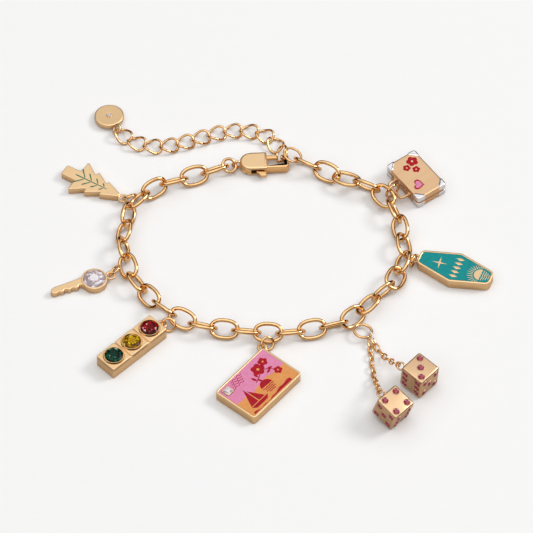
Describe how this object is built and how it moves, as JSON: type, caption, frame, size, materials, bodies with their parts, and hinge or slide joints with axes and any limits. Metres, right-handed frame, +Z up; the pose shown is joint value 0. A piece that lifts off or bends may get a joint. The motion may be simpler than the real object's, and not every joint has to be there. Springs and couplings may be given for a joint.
{
  "type": "charm bracelet",
  "caption": "Oval cable-link charm bracelet with a hook clasp, curb extender with round tag, and enamelled and stone-set travel charms on jump rings, lying as an open loop.",
  "frame": {"origin": "on the surface that it lies on, under the middle of its bounding box", "axes": "+X to the right and +Y away from the camera in the picture's view, with the clasp at the far side; +Z up from the surface"},
  "size_m": [0.0972, 0.091, 0.0076],
  "materials": {
    "gold": "pale gold plating, polished",
    "clear_stone": "clear cut glass",
    "red_stone": "dark red cut glass",
    "yellow_stone": "olive yellow cut glass",
    "green_stone": "dark green cut glass",
    "pink_enamel": "pink and orange enamel, glossy",
    "teal_enamel": "teal enamel, glossy"
  },
  "bodies": {
    "bracelet": {"clasp_body": "gold", "clasp_ring": "gold", "extender_chain": "gold", "end_tag": "gold", "link_01": "gold", "link_02": "gold", "link_03": "gold", "link_04": "gold", "link_05": "gold", "link_06": "gold", "link_07": "gold", "link_08": "gold", "link_09": "gold", "link_10": "gold", "link_11": "gold", "link_12": "gold", "link_13": "gold", "link_14": "gold", "link_15": "gold", "link_16": "gold", "link_17": "gold", "link_18": "gold", "link_19": "gold", "link_20": "gold", "link_21": "gold", "link_22": "gold", "link_23": "gold", "link_24": "gold", "link_25": "gold", "link_26": "gold", "link_27": "gold", "link_28": "gold", "link_29": "gold", "link_30": "gold", "link_31": "gold", "link_32": "gold", "link_33": "gold", "tree_ring": "gold", "tree_charm": "gold", "key_ring": "gold", "key_charm": "gold", "key_stone": "clear_stone", "signal_ring": "gold", "signal_body": "gold", "signal_stone_red": "red_stone", "signal_stone_yellow": "yellow_stone", "signal_stone_green": "green_stone", "postcard_ring": "gold", "postcard": "gold", "postcard_enamel": "pink_enamel", "dice_ring": "gold", "die_a": "gold", "die_b": "gold", "dice_chains": "gold", "fob_ring": "gold", "fob_charm": "gold", "fob_enamel": "teal_enamel", "case_ring": "gold", "case_charm": "gold"},
    "lever": {"clasp_lever": "gold"}
  },
  "joints": [
    {"name": "lever_hinge", "type": "hinge", "parent": "bracelet", "child": "lever", "pos_m": [-0.00385, 0.02938, 0.0013], "axis": [0, 0, -1], "range_deg": [0, 18], "stiffness_Nm_per_rad": 0.0001, "springref_deg": -11.46}
  ]
}
